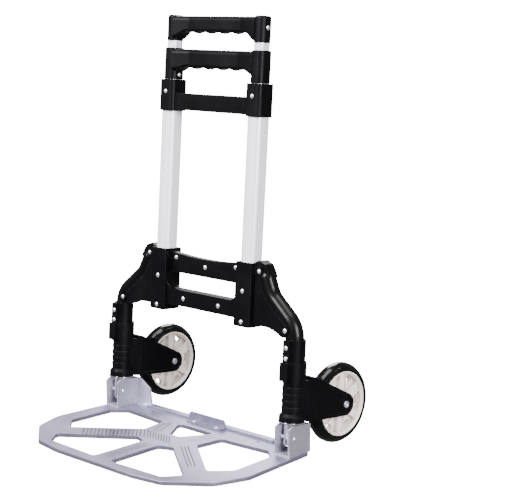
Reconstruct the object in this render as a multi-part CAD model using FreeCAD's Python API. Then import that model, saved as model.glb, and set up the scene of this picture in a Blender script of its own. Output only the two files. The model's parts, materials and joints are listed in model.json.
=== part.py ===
import FreeCAD, Part
import math
import os
from FreeCAD import Placement, Rotation, Vector

# Folding hand truck, shown with its handle collapsed and its toe plate down.
# Millimetres and degrees. X runs across the truck, Y from the toe plate towards the wheels, Z up.
# The origin is on the floor, at the middle of the truck's footprint.
# The frame leans back. Its pieces are modelled upright, with Y = 0 on the plane of the tubes
# and Z = 0 on the floor, and stand() then tips them into place.

# ---------------------------------------------------------------- driving dimensions: frame
lean_angle = 4.15            # how far the frame leans back
tube_spacing = 178.4         # between the centres of the two telescoping tubes
leg_spacing = 364.0          # between the centres of the two legs

outer_tube_width = 26.0
outer_tube_depth = 28.0
outer_tube_corner = 9.5
outer_tube_wall = 1.5
outer_tube_bottom = 181.0
outer_tube_top = 516.0

middle_tube_gap = 0.7        # sliding gap between outer and middle tube, each side
middle_tube_wall = 1.3
middle_tube_bottom = 195.0
middle_tube_top = 565.0
middle_travel = 190.0

inner_tube_gap = 0.6         # sliding gap between middle and inner tube, each side
inner_tube_wall = 1.2
inner_tube_bottom = 300.0
inner_tube_top = 617.0
top_travel = 185.0

fixed_gap = 0.05             # between a tube and the moulding that is fixed on it
guide_gap = 0.35             # between a sliding tube and the lip that guides it
body_gap = 0.4               # between the end faces of pieces that move apart

# ---------------------------------------------------------------- driving dimensions: clamp, bracket
clamp_wall = 2.0
clamp_corner = 7.0
clamp_bottom = 480.0
clamp_top = 527.0
clamp_rivet_height = 509.0
crossbar_bottom = 482.0
crossbar_top = 507.0
crossbar_depth = 17.0
moulding_wall = 2.5          # skin of the hollow mouldings
clamp_rib_count = 5

saddle_bottom = 177.0
saddle_top = 271.0
saddle_wall = 2.75
saddle_depth = 34.0
saddle_corner = 2.5
saddle_rivet_heights = (183.7, 229.0)
rail_front = -12.0           # front face of the lower rail between the saddles
top_rail_front = -5.0        # the upper rail is set back
rail_rear = 7.0
rail_bottom = 187.0
rail_top = 267.0             # at the saddles
rail_sag = 4.5               # the upper rail's top edge dips by this at its middle
slot_bottom = 211.5
slot_top = 236.5
slot_knee_height = 219.0
slot_floor_inset = 10.0      # the slot's floor is shorter than its roof, by this at each end
slot_corner = 4.5
top_rail_rivets = ((-62.7, 259.0), (0.0, 251.0), (62.7, 259.0))
low_rail_rivets = ((-36.8, 199.0), (36.8, 199.0))

# ---------------------------------------------------------------- driving dimensions: legs
leg_tube_radius = 12.0       # bent tube, from the saddle down into the leg collar
leg_tube_wall = 1.5
leg_tube_start = (123.5, 252.0)
leg_tube_shoulder = (135.0, 227.0)
leg_tube_knee_height = 188.0
leg_tube_bend = 36.0
leg_tube_end = 114.0

gusset_front = -9.5          # the bent tube stands proud of the gusset, front and rear
gusset_rear = 9.0
gusset_bottom = 183.0
gusset_foot = 172.6
gusset_head = ((105.0, 272.0), (113.0, 276.0), (124.0, 271.5), (131.0, 262.0), (134.0, 254.0))
gusset_rivets = ((115.3, 260.7), (171.5, 183.3))
gusset_boss_radius = 5.5
gusset_boss_front = -13.2
ear_sheet = 2.0
ear_clearance = 0.3          # between the ear and the bent tube

leg_clamp_radius = 15.0
leg_clamp_bottom = 140.2
leg_clamp_top = 172.0
leg_clamp_lug_width = 11.0
leg_clamp_lug_front = -20.6
leg_clamp_rivet_heights = (145.8, 161.2)

collar_radius = 17.5
collar_bottom = 114.0
collar_lug_width = 13.0
collar_lug_front = -24.5

pivot_radius = 10.4          # chromed tube that the wheel bracket turns on
pivot_wall = 1.6
pivot_bottom = 17.0
pivot_top = 168.0
pivot_round = 4.0
running_gap = 0.08           # radial clearance of everything that turns on a shaft
ring_radius = 19.0
ring_bottom = 52.3
ring_top = 54.0

# ---------------------------------------------------------------- driving dimensions: wheels
wheel_diameter = 120.0
wheel_trail = 104.0          # axle behind the legs, measured on the floor
tyre_width = 26.0
tyre_side_radius = 51.2      # where the round crown meets the sides
rim_radius = 48.0
rim_lip = 3.2
rim_width = 24.0
hub_radius = 15.0
hub_web = 6.0
spoke_count = 6
spoke_width = 15.0
spoke_thickness = 15.0
spoke_ridge = 1.6
spoke_ridge_rise = 2.2
window_inner = 35.0
window_outer = 42.0
window_half_width = 6.0
window_spread = 7.5
bearing_radius = 11.0
bearing_width = 7.0
bearing_groove = 0.7
axle_radius = 4.0
axle_head_radius = 5.2
axle_head_height = 3.0
axle_recess_radius = 6.4
axle_recess_depth = 1.6
spacer_radius = 7.0

fork_gap = 1.7               # between tyre and fork arm
fork_arm = 3.8
fork_end_radius = 16.5
fork_tyre_clearance = 3.5
fork_shoulder = 26.0         # where the arms reach their full spread, behind the leg
fork_step = 19.0             # behind the leg, where the fork rises clear of the collar
fork_rise = 4.0
fork_panel_depth = 0.8
fork_panel_border = 4.5
sleeve_radius = 15.2
sleeve_rib_radius = 15.9
sleeve_rib_count = 5
sleeve_rib_height = 4.2
sleeve_flare_radius = 18.6
sleeve_flare_height = 7.5

# ---------------------------------------------------------------- driving dimensions: toe plate
plate_thickness = 6.0
plate_front_reach = 212.0    # ahead of the legs
plate_rear_reach = 29.0      # behind the legs
plate_half_width_rear = 196.0
plate_half_width = 206.0
plate_side_end = -108.0
plate_shoulder = (188.0, -159.0)
plate_front_corner = (132.0, -204.0)
plate_corner_radius = 14.0
plate_edge_round = 1.2
rear_rail_height = 10.5
rear_rail_front = 17.0
rear_rail_half_length = 134.0
plate_hole_corner = 7.0
side_window = ((63.0, -17.0), (150.0, -10.0), (171.0, -29.0), (174.0, -105.0), (147.0, -132.0), (57.0, -62.0))
front_window = ((16.0, -101.0), (38.0, -92.0), (137.0, -166.0), (118.0, -191.0), (17.0, -195.0))
centre_window = ((-38.0, -7.0), (38.0, -7.0), (10.0, -53.0), (-10.0, -53.0))
tread_groove_width = 1.5
tread_groove_depth = 0.7
tread_cross_count = 26       # grooves across the left rib and the hub
tread_cross_pitch = 5.8
tread_cross_start = (-116.0, -131.0)
tread_cross_knee = (-38.0, -73.0)
tread_cross_end = (14.0, -73.0)
tread_cross_half_length = 17.0
tread_line_gap = 5.0         # between the grooves that run along the other ribs
tread_lines = ((48.0, -79.0, 118.0, -133.0), (0.0, -104.0, 0.0, -186.0), (52.0, -16.0, 34.0, -58.0),
               (-52.0, -16.0, -34.0, -58.0))
rail_hole_radius = 2.6
rail_hole_x = 112.0
rail_hole_y = 9.0

hinge_height = 31.0
hinge_ahead = 4.0            # hinge pin ahead of the leg line, measured on the floor
hinge_pin_radius = 3.0
hinge_pin_head_radius = 4.4
hinge_pin_head_height = 1.8
hinge_sheet = 2.6
hinge_bracket_width = 28.2
hinge_bracket_front = 16.5   # ahead of the leg line
hinge_bracket_rear_top = 47.5
hinge_swing_radius = 20.0    # the bracket's nose stays inside this radius about the pin
hinge_wing_reach = 45.5      # inboard end of the rear wing, from the leg's centre
hinge_wing_knee = (42.0, 34.0)
hinge_wing_end_height = 12.0

stop_half_width = 38.0
stop_height = 21.0
stop_sheet = 2.4
stop_foot = 9.0
stop_corner = 5.0
stop_rivet_x = 24.0

# ---------------------------------------------------------------- driving dimensions: handles
middle_handle_top = 574.0
middle_socket_wall = 1.2
middle_grip_height = 29.0
middle_arch_reach = 28.0
middle_socket_round = 1.2
middle_arch_bottom = 538.6   # clear of the rivet head below it
middle_handle_rivet_height = 534.0
top_handle_bottom = 585.0
top_handle_top = 623.0
top_socket_wall = 1.6
top_grip_height = 25.5
top_arch_reach = 26.0
top_socket_round = 3.5
top_handle_rivet_height = 606.0
socket_outer_corner = 9.0
flare_depth = 27.0           # of the flare where it enters the socket
flare_inset = 0.05           # the flare's end is this far inside the grip
grip_depth = 18.0
grip_corner = 6.5
finger_pitch = 27.0
finger_depth = 3.2
finger_count = 5

# ---------------------------------------------------------------- driving dimensions: fasteners, locks
rivet_radius = 2.0
rivet_head_radius = 3.5
rivet_head_height = 1.5
rivet_hole_gap = 0.05
lock_hole_radius = 3.1
lock_hole_height = 456.0     # where the middle stage locks when it is drawn out
lock_pin_radius = 2.9
lock_pin_flange_radius = 4.2
lock_pin_flange = 1.0
lock_pin_set_back = 0.2      # held in, the pin stops this far short of the wall that it locks to
middle_lock_travel = 1.5
top_lock_travel = 1.1
top_lock_height = 330.0
lock_spring_sheet = 0.8
lock_spring_width = 7.0
lock_spring_length = 16.0
glide_flange = 8.0
glide_spigot = 8.0
glide_gap = 0.3

# ---------------------------------------------------------------- derived values
tube_x = tube_spacing / 2
leg_x = leg_spacing / 2
lean = math.radians(lean_angle)
wheel_radius = wheel_diameter / 2
leg_line = (plate_front_reach - wheel_trail - wheel_radius) / 2

axle_y = wheel_trail * math.cos(lean) - wheel_radius * math.sin(lean)
axle_z = wheel_radius * math.cos(lean) + wheel_trail * math.sin(lean)
hinge_y = -hinge_ahead * math.cos(lean) - hinge_height * math.sin(lean)
hinge_z = hinge_height * math.cos(lean) - hinge_ahead * math.sin(lean)

outer_bore_width = outer_tube_width - 2 * outer_tube_wall
outer_bore_depth = outer_tube_depth - 2 * outer_tube_wall
middle_tube_width = outer_bore_width - 2 * middle_tube_gap
middle_tube_depth = outer_bore_depth - 2 * middle_tube_gap
middle_tube_corner = outer_tube_corner - outer_tube_wall - middle_tube_gap
middle_bore_width = middle_tube_width - 2 * middle_tube_wall
middle_bore_depth = middle_tube_depth - 2 * middle_tube_wall
inner_tube_width = middle_bore_width - 2 * inner_tube_gap
inner_tube_depth = middle_bore_depth - 2 * inner_tube_gap
inner_tube_corner = middle_tube_corner - middle_tube_wall - inner_tube_gap
inner_bore_width = inner_tube_width - 2 * inner_tube_wall
inner_bore_depth = inner_tube_depth - 2 * inner_tube_wall

clamp_width = outer_tube_width + 2 * clamp_wall
clamp_depth = outer_tube_depth + 2 * clamp_wall
saddle_width = outer_tube_width + 2 * saddle_wall
saddle_inner = tube_x - saddle_width / 2
saddle_outer = tube_x + saddle_width / 2
fork_inner = tyre_width / 2 + fork_gap
fork_outer = fork_inner + fork_arm
sleeve_bottom = ring_top + body_gap
sleeve_top = collar_bottom - body_gap
middle_lock_height = lock_hole_height - middle_travel
far = 600.0                  # longer than any piece, for cutting tools

across = Vector(1, 0, 0)
rearward = Vector(0, 1, 0)
up = Vector(0, 0, 1)
nodes = {}


# ---------------------------------------------------------------- building blocks
def box(x0, x1, y0, y1, z0, z1):
    return Part.makeBox(x1 - x0, y1 - y0, z1 - z0, Vector(x0, y0, z0))


def rod(radius, start, direction, length):
    return Part.makeCylinder(radius, length, start, direction)


def post(width, depth, corner, low, high, x):
    """Upright bar with rounded corners, centred on (x, 0)."""
    solid = box(x - width / 2, x + width / 2, -depth / 2, depth / 2, low, high)
    if corner <= 0:
        return solid
    upright = [edge for edge in solid.Edges if abs(edge.tangentAt(edge.FirstParameter).z) > 0.99]
    return solid.makeFillet(corner, upright)


def outline(corners, radius, place):
    """Closed wire through (u, v) corners, each rounded by radius or by its own third number."""
    edges = []
    count = len(corners)
    ends = []
    for index in range(count):
        here = Vector(corners[index][0], corners[index][1], 0)
        before = Vector(*corners[index - 1][:2], 0)
        after = Vector(*corners[(index + 1) % count][:2], 0)
        size = corners[index][2] if len(corners[index]) > 2 else radius
        to_before = (before - here).normalize()
        to_after = (after - here).normalize()
        half = to_before.getAngle(to_after) / 2
        reach = 0 if size <= 0 else size / math.tan(half)
        middle = here
        if reach > 0:
            bisector = (to_before + to_after).normalize()
            middle = here + bisector * (size / math.sin(half) - size)
        ends.append((here + to_before * reach, middle, here + to_after * reach, reach))
    for index in range(count):
        start, middle, end, reach = ends[index]
        if reach > 0:
            edges.append(Part.Arc(place(start), place(middle), place(end)).toShape())
        following = ends[(index + 1) % count][0]
        if (following - end).Length > 1e-6:
            edges.append(Part.LineSegment(place(end), place(following)).toShape())
    return Part.Wire(edges)


def plan_prism(corners, radius, low, high):
    """Prism of an outline given in X and Y."""
    wire = outline(corners, radius, lambda p: Vector(p.x, p.y, low))
    return Part.Face(wire).extrude(up * (high - low))


def front_prism(corners, radius, front, rear):
    """Prism of an outline given in X and Z."""
    wire = outline(corners, radius, lambda p: Vector(p.x, front, p.y))
    return Part.Face(wire).extrude(rearward * (rear - front))


def side_prism(corners, radius, left, right):
    """Prism of an outline given in Y and Z."""
    wire = outline(corners, radius, lambda p: Vector(left, p.x, p.y))
    return Part.Face(wire).extrude(across * (right - left))


def mirrored(shape):
    return shape.mirror(Vector(0, 0, 0), across)


def mirrored_corners(corners):
    return tuple((-x, y) for x, y in reversed(corners))


def stand(shape):
    """Tip a piece of the frame back and put the legs on their line."""
    placed = shape.copy()
    tip = Placement(Vector(0, leg_line, 0), Rotation(across, -lean_angle))
    placed.Placement = tip.multiply(placed.Placement)
    return placed


def on_floor(shape):
    """Put a piece modelled level, with Y = 0 on the leg line, in its place."""
    placed = shape.copy()
    placed.translate(Vector(0, leg_line, 0))
    return placed


def dome(centre, direction, radius, height):
    """Low domed head standing on centre."""
    ball_radius = (radius ** 2 + height ** 2) / (2 * height)
    angle = math.asin(radius / ball_radius) / 2
    middle = Vector(ball_radius * math.sin(angle), 0, height - ball_radius + ball_radius * math.cos(angle))
    crown = Part.Arc(Vector(radius, 0, 0), middle, Vector(0, 0, height)).toShape()
    axis = Part.LineSegment(Vector(0, 0, height), Vector(0, 0, 0)).toShape()
    base = Part.LineSegment(Vector(0, 0, 0), Vector(radius, 0, 0)).toShape()
    head = Part.Face(Part.Wire([crown, axis, base])).revolve(Vector(0, 0, 0), up, 360)
    head.Placement = Placement(centre, Rotation(up, direction))
    return head


def rivet(seat, direction, grip, radius=rivet_radius, head=rivet_head_radius, height=rivet_head_height):
    """Rivet whose head stands on seat, facing direction, with a shank of length grip."""
    shank = rod(radius, seat, direction * -1, grip)
    return dome(seat, direction, head, height).fuse(shank).removeSplitter()


def rivet_hole(seat, direction, grip, radius=rivet_radius):
    start = seat + direction * (grip * 0.5)
    return rod(radius + rivet_hole_gap, start, direction * -1, grip * 1.5 + 1)


def both_sides(name, shape, placer):
    """Keep a right-hand piece and its mirror image as two nodes."""
    nodes["right_" + name] = placer(shape)
    nodes["left_" + name] = placer(mirrored(shape))


# ---------------------------------------------------------------- telescoping tubes
def tube(width, depth, corner, wall, low, high):
    outside = post(width, depth, corner, low, high, tube_x)
    inside = post(width - 2 * wall, depth - 2 * wall, corner - wall, low - 1, high + 1, tube_x)
    return outside.cut(inside)


def cross_hole(radius, height):
    return rod(radius, Vector(tube_x - outer_tube_width, 0, height), across, 2 * outer_tube_width)


def front_seat(x, z, y):
    return Vector(x, y, z)


clamp_front = -clamp_depth / 2
saddle_front = -saddle_depth / 2
clamp_rivet_seat = front_seat(tube_x, clamp_rivet_height, clamp_front)
clamp_rivet_grip = clamp_wall + fixed_gap + outer_tube_wall
saddle_rivet_seats = [front_seat(tube_x, height, saddle_front) for height in saddle_rivet_heights]
saddle_rivet_grip = saddle_depth / 2 - outer_bore_depth / 2
forward = rearward * -1

outer_tube = tube(outer_tube_width, outer_tube_depth, outer_tube_corner, outer_tube_wall,
                  outer_tube_bottom, outer_tube_top)
for height in (lock_hole_height, middle_lock_height):
    outer_tube = outer_tube.cut(cross_hole(lock_hole_radius, height))
outer_tube = outer_tube.cut(rivet_hole(clamp_rivet_seat, forward, clamp_rivet_grip))
for seat in saddle_rivet_seats:
    outer_tube = outer_tube.cut(rivet_hole(seat, forward, saddle_rivet_grip))
both_sides("outer_tube", outer_tube, stand)

middle_handle_rivet_x = tube_x - middle_tube_width / 2 - middle_socket_wall
middle_handle_rivet_seat = Vector(middle_handle_rivet_x, 0, middle_handle_rivet_height)
middle_handle_rivet_grip = middle_socket_wall + middle_tube_wall
top_handle_rivet_seat = Vector(tube_x + inner_tube_width / 2 + top_socket_wall, 0, top_handle_rivet_height)
top_handle_rivet_grip = top_socket_wall + inner_tube_wall + 2


def lock_bore(radius, height):
    """Hole on the outboard side of a tube."""
    return rod(radius, Vector(tube_x, 0, height), across, outer_tube_width)


middle_tube = tube(middle_tube_width, middle_tube_depth, middle_tube_corner, middle_tube_wall,
                   middle_tube_bottom, middle_tube_top)
middle_tube = middle_tube.cut(lock_bore(lock_pin_radius + running_gap, middle_lock_height))
middle_tube = middle_tube.cut(lock_bore(lock_hole_radius, top_lock_height))
middle_tube = middle_tube.cut(lock_bore(lock_hole_radius, top_lock_height + top_travel))
middle_tube = middle_tube.cut(rivet_hole(middle_handle_rivet_seat, across * -1, middle_handle_rivet_grip))
both_sides("middle_tube", middle_tube, stand)

inner_tube = tube(inner_tube_width, inner_tube_depth, inner_tube_corner, inner_tube_wall,
                  inner_tube_bottom, inner_tube_top)
inner_tube = inner_tube.cut(lock_bore(lock_pin_radius + running_gap, top_lock_height))
inner_tube = inner_tube.cut(rivet_hole(top_handle_rivet_seat, across, top_handle_rivet_grip))
both_sides("inner_tube", inner_tube, stand)


def glide(bore_width, bore_depth, bore_corner, tube_width, tube_depth, tube_corner, wall, tube_end):
    """Plastic plug in the lower end of a sliding tube, with a flange that runs in the next tube."""
    flange = post(bore_width - 2 * glide_gap, bore_depth - 2 * glide_gap, bore_corner - glide_gap,
                  tube_end - glide_flange, tube_end, tube_x)
    shrink = 2 * (wall + fixed_gap)
    spigot = post(tube_width - shrink, tube_depth - shrink, tube_corner - wall - fixed_gap,
                  tube_end, tube_end + glide_spigot, tube_x)
    plug = flange.fuse(spigot).removeSplitter()
    return Part.makeCompound([stand(plug), stand(mirrored(plug))])


nodes["middle_tube_glides"] = glide(outer_bore_width, outer_bore_depth, outer_tube_corner - outer_tube_wall,
                                    middle_tube_width, middle_tube_depth, middle_tube_corner,
                                    middle_tube_wall, middle_tube_bottom)
nodes["inner_tube_glides"] = glide(middle_bore_width, middle_bore_depth, middle_tube_corner - middle_tube_wall,
                                   inner_tube_width, inner_tube_depth, inner_tube_corner,
                                   inner_tube_wall, inner_tube_bottom)


# ---------------------------------------------------------------- spring locks of the two stages
def lock_pin(bore_half_width, height, tube_half_bore, travel):
    """Pin held in: its flange is inside the sliding tube and its tip just inside the fixed one."""
    tip = tube_x + bore_half_width - lock_pin_set_back
    flange_face = tube_x + tube_half_bore - travel - 0.1
    flange_back = flange_face - lock_pin_flange
    pin = rod(lock_pin_radius, Vector(flange_back, 0, height), across, tip - flange_back)
    flange = rod(lock_pin_flange_radius, Vector(flange_back, 0, height), across, lock_pin_flange)
    return pin.fuse(flange).removeSplitter(), flange_back


def lock_spring(flange_back, height, tube_half_bore):
    """Bent leaf that bears on the far wall of the tube and ends just behind the pin's flange."""
    near = flange_back - 0.2
    far_wall = tube_x - tube_half_bore + fixed_gap
    sheet = lock_spring_sheet
    low = height - lock_spring_length
    high = height + lock_spring_width / 2
    leaf = ((near, high), (near, low + 2 * sheet), (near - 2 * sheet, low), (far_wall + 2 * sheet, low),
            (far_wall, low + 2 * sheet), (far_wall, high), (far_wall + sheet, high),
            (far_wall + sheet, low + 2.4 * sheet), (far_wall + 2.4 * sheet, low + sheet),
            (near - 2.4 * sheet, low + sheet), (near - sheet, low + 2.4 * sheet), (near - sheet, high))
    return front_prism(leaf, 0, -lock_spring_width / 2, lock_spring_width / 2)


middle_pin, middle_pin_back = lock_pin(outer_bore_width / 2, middle_lock_height, middle_bore_width / 2,
                                       middle_lock_travel)
top_pin, top_pin_back = lock_pin(middle_bore_width / 2, top_lock_height, inner_bore_width / 2, top_lock_travel)
both_sides("middle_lock_pin", middle_pin, stand)
both_sides("top_lock_pin", top_pin, stand)
middle_spring = lock_spring(middle_pin_back, middle_lock_height, middle_bore_width / 2)
top_spring = lock_spring(top_pin_back, top_lock_height, inner_bore_width / 2)
nodes["middle_lock_springs"] = Part.makeCompound([stand(middle_spring), stand(mirrored(middle_spring))])
nodes["top_lock_springs"] = Part.makeCompound([stand(top_spring), stand(mirrored(top_spring))])


# ---------------------------------------------------------------- upper clamp
def upper_clamp():
    """Moulding at the top of the outer tubes: a socket on each tube, and a crossbar open to the rear."""
    crossbar_end = tube_x - clamp_width / 2 + 1
    body = box(-crossbar_end, crossbar_end, -crossbar_depth / 2, crossbar_depth / 2, crossbar_bottom, crossbar_top)
    pocket_half = tube_x - clamp_width / 2 - moulding_wall
    pitch = 2 * pocket_half / (clamp_rib_count + 1)
    for index in range(clamp_rib_count + 1):
        left = -pocket_half + index * pitch + moulding_wall / 2
        right = -pocket_half + (index + 1) * pitch - moulding_wall / 2
        body = body.cut(box(left, right, -crossbar_depth / 2 + moulding_wall, crossbar_depth,
                            crossbar_bottom + moulding_wall, crossbar_top - moulding_wall))
    for side in (-1, 1):
        socket = post(clamp_width, clamp_depth, clamp_corner, clamp_bottom, clamp_top, side * tube_x)
        body = body.fuse(socket)
    for side in (-1, 1):
        seat_bore = post(outer_tube_width + 2 * fixed_gap, outer_tube_depth + 2 * fixed_gap, outer_tube_corner,
                         clamp_bottom - 1, outer_tube_top, side * tube_x)
        guide_bore = post(middle_tube_width + 2 * guide_gap, middle_tube_depth + 2 * guide_gap,
                          middle_tube_corner, clamp_bottom, clamp_top + 1, side * tube_x)
        body = body.cut(seat_bore).cut(guide_bore)
        seat = Vector(side * tube_x, clamp_front, clamp_rivet_height)
        body = body.cut(rivet_hole(seat, forward, clamp_rivet_grip))
    return body.removeSplitter()


nodes["upper_clamp"] = stand(upper_clamp())
clamp_rivet = rivet(clamp_rivet_seat, forward, clamp_rivet_grip - fixed_gap)
nodes["upper_clamp_rivets"] = Part.makeCompound([stand(clamp_rivet), stand(mirrored(clamp_rivet))])


# ---------------------------------------------------------------- path of the bent leg tubes
leg_tube_cap = Vector(leg_tube_start[0], 0, leg_tube_start[1])
leg_tube_corners = (leg_tube_start, leg_tube_shoulder, (leg_x, leg_tube_knee_height), (leg_x, leg_tube_end))


def leg_path(extend=0.0):
    """Centre line of the bent tube: straight runs joined by tangent arcs."""
    points = [Vector(x, 0, z) for x, z in leg_tube_corners]
    first = (points[1] - points[0]).normalize()
    points[0] = points[0] - first * extend
    points[-1] = points[-1] - up * extend
    edges = []
    start = points[0]
    for index in range(1, len(points) - 1):
        back = (points[index - 1] - points[index]).normalize()
        ahead = (points[index + 1] - points[index]).normalize()
        half = back.getAngle(ahead) / 2
        reach = leg_tube_bend / math.tan(half)
        bisector = (back + ahead).normalize()
        middle = points[index] + bisector * (leg_tube_bend / math.sin(half) - leg_tube_bend)
        arc_start = points[index] + back * reach
        arc_end = points[index] + ahead * reach
        edges.append(Part.LineSegment(start, arc_start).toShape())
        edges.append(Part.Arc(arc_start, middle, arc_end).toShape())
        start = arc_end
    edges.append(Part.LineSegment(start, points[-1]).toShape())
    return Part.Wire(edges), points[0], first


def leg_pipe(radius, extend=0.0):
    path, start, direction = leg_path(extend)
    ring = Part.Wire([Part.makeCircle(radius, start, direction)])
    return path.makePipeShell([ring], True, True)


# ---------------------------------------------------------------- lower bracket, in two shells
ear_rivet_grip = 3.8
rail_rivets = [(x, top_rail_front, z) for x, z in top_rail_rivets]
rail_rivets += [(x, rail_front, z) for x, z in low_rail_rivets]


def lower_bracket():
    """Both shells in one: a saddle on each tube and two hollow rails with the hand slot between."""
    rails = box(-saddle_inner - 1, saddle_inner + 1, rail_front, rail_rear, rail_bottom, rail_top)
    rails = rails.cut(box(-far, far, -far, top_rail_front, slot_top - 6, far))
    sag_radius = (saddle_inner ** 2 + rail_sag ** 2) / (2 * rail_sag)
    rails = rails.cut(rod(sag_radius, Vector(0, -far, rail_top - rail_sag + sag_radius), rearward, 2 * far))
    slot_end = saddle_inner - 0.5
    slot = ((-slot_end, slot_top), (slot_end, slot_top), (slot_end, slot_knee_height),
            (slot_end - slot_floor_inset, slot_bottom), (-slot_end + slot_floor_inset, slot_bottom),
            (-slot_end, slot_knee_height))
    rails = rails.cut(front_prism(slot, slot_corner, -far, far))
    hollow_end = slot_end - slot_floor_inset - moulding_wall
    hollows = [box(-slot_end + moulding_wall, slot_end - moulding_wall, top_rail_front + moulding_wall,
                   rail_rear - moulding_wall, slot_top + moulding_wall, rail_top - rail_sag - moulding_wall),
               box(-hollow_end, hollow_end, rail_front + moulding_wall, rail_rear - moulding_wall,
                   rail_bottom + moulding_wall, slot_bottom - moulding_wall)]
    for hollow in hollows:
        rails = rails.cut(hollow)
    for x, front, z in rail_rivets:
        boss = rod(rivet_head_radius + 1.5, Vector(x, front + 1, z), rearward, rail_rear - front - 2)
        rails = rails.fuse(boss)
    body = rails
    for side in (-1, 1):
        saddle = post(saddle_width, saddle_depth, saddle_corner, saddle_bottom, saddle_top, side * tube_x)
        ear_inner = side * (tube_x + saddle_width / 2 - 1)
        ear_outer = side * (gusset_rivets[0][0] + rivet_head_radius + 1.5)
        ear = box(min(ear_inner, ear_outer), max(ear_inner, ear_outer), gusset_front - ear_sheet,
                  gusset_front - 0.02, gusset_rivets[0][1] - rivet_head_radius - 2.5, saddle_top - 4)
        room = leg_pipe(leg_tube_radius + ear_clearance)
        room = room.fuse(Part.makeSphere(leg_tube_radius + ear_clearance, leg_tube_cap))
        ear = ear.cut(room if side > 0 else mirrored(room))
        body = body.fuse(saddle).fuse(ear)
    for side in (-1, 1):
        bore = post(outer_tube_width + 2 * fixed_gap, outer_tube_depth + 2 * fixed_gap, outer_tube_corner,
                    outer_tube_bottom, saddle_top + 1, side * tube_x)
        body = body.cut(bore)
        for seat in saddle_rivet_seats:
            body = body.cut(rivet_hole(Vector(side * seat.x, seat.y, seat.z), forward, saddle_rivet_grip))
        ear_seat = Vector(side * gusset_rivets[0][0], gusset_front - ear_sheet, gusset_rivets[0][1])
        body = body.cut(rivet_hole(ear_seat, forward, ear_rivet_grip))
    for x, front, z in rail_rivets:
        body = body.cut(rod(rivet_radius + rivet_hole_gap, Vector(x, front - 5, z), rearward, far))
    return body.removeSplitter()


bracket = lower_bracket()
nodes["lower_bracket_front"] = stand(bracket.common(box(-far, far, -far, 0, 0, far)))
nodes["lower_bracket_rear"] = stand(bracket.common(box(-far, far, 0, far, 0, far)))

bracket_rivets = []
for side in (-1, 1):
    for seat in saddle_rivet_seats:
        placed_seat = Vector(side * seat.x, seat.y, seat.z)
        bracket_rivets.append(stand(rivet(placed_seat, forward, saddle_rivet_grip - fixed_gap)))
for x, front, z in rail_rivets:
    through = rivet(Vector(x, front, z), forward, rail_rear - front + rivet_head_height / 2)
    tail = dome(Vector(x, rail_rear, z), rearward, rivet_head_radius, rivet_head_height)
    bracket_rivets.append(stand(through.fuse(tail).removeSplitter()))
nodes["lower_bracket_rivets"] = Part.makeCompound(bracket_rivets)


# ---------------------------------------------------------------- bent leg tubes and gussets
def bent_leg_tube():
    """Bent tube, closed by a rounded cap at its upper end and open below for the pivot tube."""
    body = leg_pipe(leg_tube_radius).fuse(Part.makeSphere(leg_tube_radius, leg_tube_cap))
    body = body.cut(leg_pipe(leg_tube_radius - leg_tube_wall))
    body = body.cut(rod(leg_tube_radius - leg_tube_wall, Vector(leg_x, 0, leg_tube_end - 1), up, 20))
    bend_x, bend_z = gusset_rivets[1]
    body = body.cut(rivet_hole(Vector(bend_x, gusset_boss_front, bend_z), forward, gusset_rivet_grip))
    for height in leg_clamp_rivet_heights:
        body = body.cut(rivet_hole(Vector(leg_x, leg_clamp_lug_front, height), forward, leg_rivet_grip))
    return body


def gusset():
    """Ribbed plate between the saddle and the bent tube, with a head round the tube's end."""
    inner = saddle_outer + fixed_gap
    shoulder_x, shoulder_z = leg_tube_shoulder
    neck = Vector(shoulder_x - leg_tube_start[0], shoulder_z - leg_tube_start[1], 0)
    neck = neck.normalize() * (leg_tube_radius / 2)
    edge = ((inner, gusset_head[0][1]),) + gusset_head[1:]
    edge += ((leg_tube_start[0] + neck.x, leg_tube_start[1] + neck.y), (shoulder_x, shoulder_z),
             (leg_x, leg_tube_knee_height), (leg_x, gusset_foot), (leg_x - 20, gusset_foot, 4),
             (leg_x - 33, gusset_bottom - 4, 20), (leg_x - 45, gusset_bottom - 1, 20), (inner, gusset_bottom))
    body = front_prism(edge, 0, gusset_front, gusset_rear)
    wall = moulding_wall
    roof = gusset_head[0][1] - 2 * wall
    pocket = ((inner + wall, roof), (leg_tube_start[0] - 8, roof), (shoulder_x - 6, shoulder_z - 2),
              (leg_x - 14, leg_tube_knee_height - 1), (leg_x - 22, gusset_foot + 2 * wall),
              (leg_x - 32, gusset_bottom - 4 + wall), (leg_x - 44, gusset_bottom - 1 + wall),
              (inner + wall, gusset_bottom + wall))
    hollow = front_prism(pocket, 0, gusset_front + wall, far)
    for rib_x in (inner + 16, inner + 32):
        hollow = hollow.cut(box(rib_x, rib_x + 2, -far, gusset_rear - 4, 0, far))
    body = body.cut(hollow)
    head_x, head_z = gusset_rivets[0]
    bend_x, bend_z = gusset_rivets[1]
    body = body.fuse(rod(rivet_head_radius + 1, Vector(head_x, gusset_front + 0.5, head_z), rearward, 2 * wall - 0.5))
    boss_length = gusset_front + wall + 1 - gusset_boss_front
    body = body.fuse(rod(gusset_boss_radius, Vector(bend_x, gusset_boss_front, bend_z), rearward, boss_length))
    body = body.cut(leg_pipe(leg_tube_radius + fixed_gap, extend=1.0))
    body = body.cut(Part.makeSphere(leg_tube_radius + fixed_gap, leg_tube_cap))
    body = body.cut(rivet_hole(Vector(head_x, gusset_front, head_z), forward, gusset_rivet_grip))
    body = body.cut(rivet_hole(Vector(bend_x, gusset_boss_front, bend_z), forward, gusset_rivet_grip))
    solids = sorted(body.Solids, key=lambda solid: solid.Volume)
    return solids[-1]


gusset_rivet_grip = 11.0
leg_rivet_grip = 9.5
both_sides("leg_tube", bent_leg_tube(), stand)
both_sides("gusset", gusset(), stand)

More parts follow.
